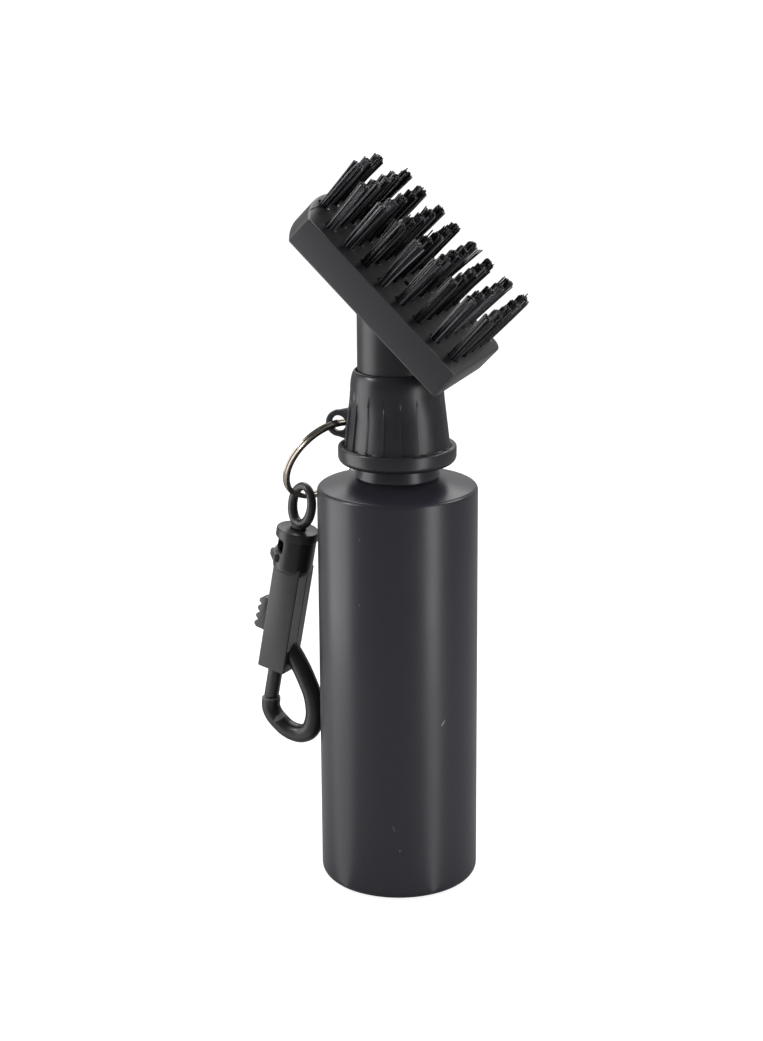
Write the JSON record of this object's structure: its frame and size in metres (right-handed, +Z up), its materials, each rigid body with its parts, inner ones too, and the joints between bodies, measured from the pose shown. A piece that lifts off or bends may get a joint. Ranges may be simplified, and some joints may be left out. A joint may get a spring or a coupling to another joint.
{
  "type": "club groove brush",
  "caption": "Groove cleaning brush for golf clubs: a water bottle with a screw cap, a press-valve stem, a tilted bristle block and a swivelling snap clip on a split ring.",
  "frame": {"origin": "centre of the bottle's flat base", "axes": "+Z up the bottle's axis; the cap's eyelet points along -X and the bristles lean over towards +X"},
  "size_m": [0.073, 0.0406, 0.1877],
  "materials": {
    "bottle_plastic": "satin",
    "cap_plastic": "satin",
    "stem_plastic": "satin",
    "block_plastic": "satin",
    "bristle_nylon": "glossy strands",
    "clip_plastic": "satin",
    "valve_plastic": "satin",
    "gasket_rubber": "matte",
    "seal_rubber": "matte",
    "spring_steel": "drawn wire",
    "nickel": "polished nickel plate"
  },
  "bodies": {
    "bottle": {"bottle": "bottle_plastic"},
    "valve_cup": {"valve_insert": "valve_plastic", "neck_gasket": "gasket_rubber", "return_spring": "spring_steel"},
    "cap": {"cap_collar": "cap_plastic"},
    "head": {"stem_tube": "stem_plastic", "stem_o_ring": "seal_rubber", "valve_seal": "seal_rubber", "valve_poppet": "valve_plastic", "brush_block": "block_plastic", "bristle_row_1": "bristle_nylon", "bristle_row_2": "bristle_nylon", "bristle_row_3": "bristle_nylon", "bristle_row_4": "bristle_nylon", "bristle_row_5": "bristle_nylon", "bristle_row_6": "bristle_nylon", "bristle_row_7": "bristle_nylon", "bristle_row_8": "bristle_nylon", "bristle_row_9": "bristle_nylon"},
    "ring": {"split_ring": "nickel"},
    "eye": {"swivel_eye": "clip_plastic"},
    "clip": {"hook_body": "clip_plastic", "bolt_spring": "spring_steel"},
    "bolt": {"bolt_slider": "clip_plastic"}
  },
  "joints": [
    {"name": "cap_lift", "type": "slide", "parent": "bottle", "child": "valve_cup", "axis": [0, 0, 1], "range_m": [0, 0.0046]},
    {"name": "cap_unscrew", "type": "hinge", "parent": "valve_cup", "child": "cap", "pos_m": [0, 0, 0.123], "axis": [0, 0, 1], "range_deg": [0, 540]},
    {"name": "head_press", "type": "slide", "parent": "valve_cup", "child": "head", "axis": [0, 0, -1], "range_m": [0, 0.0025], "stiffness_N_per_m": 1000, "springref_m": -0.004, "deforming": ["return_spring"]},
    {"name": "ring_swing", "type": "hinge", "parent": "cap", "child": "ring", "pos_m": [-0.0156, 0, 0.11989], "axis": [0, 1, 0], "range_deg": [0, 60]},
    {"name": "clip_swing", "type": "hinge", "parent": "ring", "child": "eye", "pos_m": [-0.02682, 0.00284, 0.0991], "axis": [0.3739, 0.899, -0.2281], "range_deg": [0, 60]},
    {"name": "clip_swivel", "type": "hinge", "parent": "eye", "child": "clip", "pos_m": [-0.02682, 0.00284, 0.0991], "axis": [0.1879, -0.0215, 0.982], "continuous": true},
    {"name": "bolt_pull", "type": "slide", "parent": "clip", "child": "bolt", "axis": [0.1879, -0.0215, 0.982], "range_m": [0, 0.0075], "stiffness_N_per_m": 150, "springref_m": -0.004, "deforming": ["bolt_spring"]}
  ],
  "couplings": [
    {"joint": "cap_lift", "follows": "cap_unscrew", "m_per_rad": 0.00047746}
  ]
}
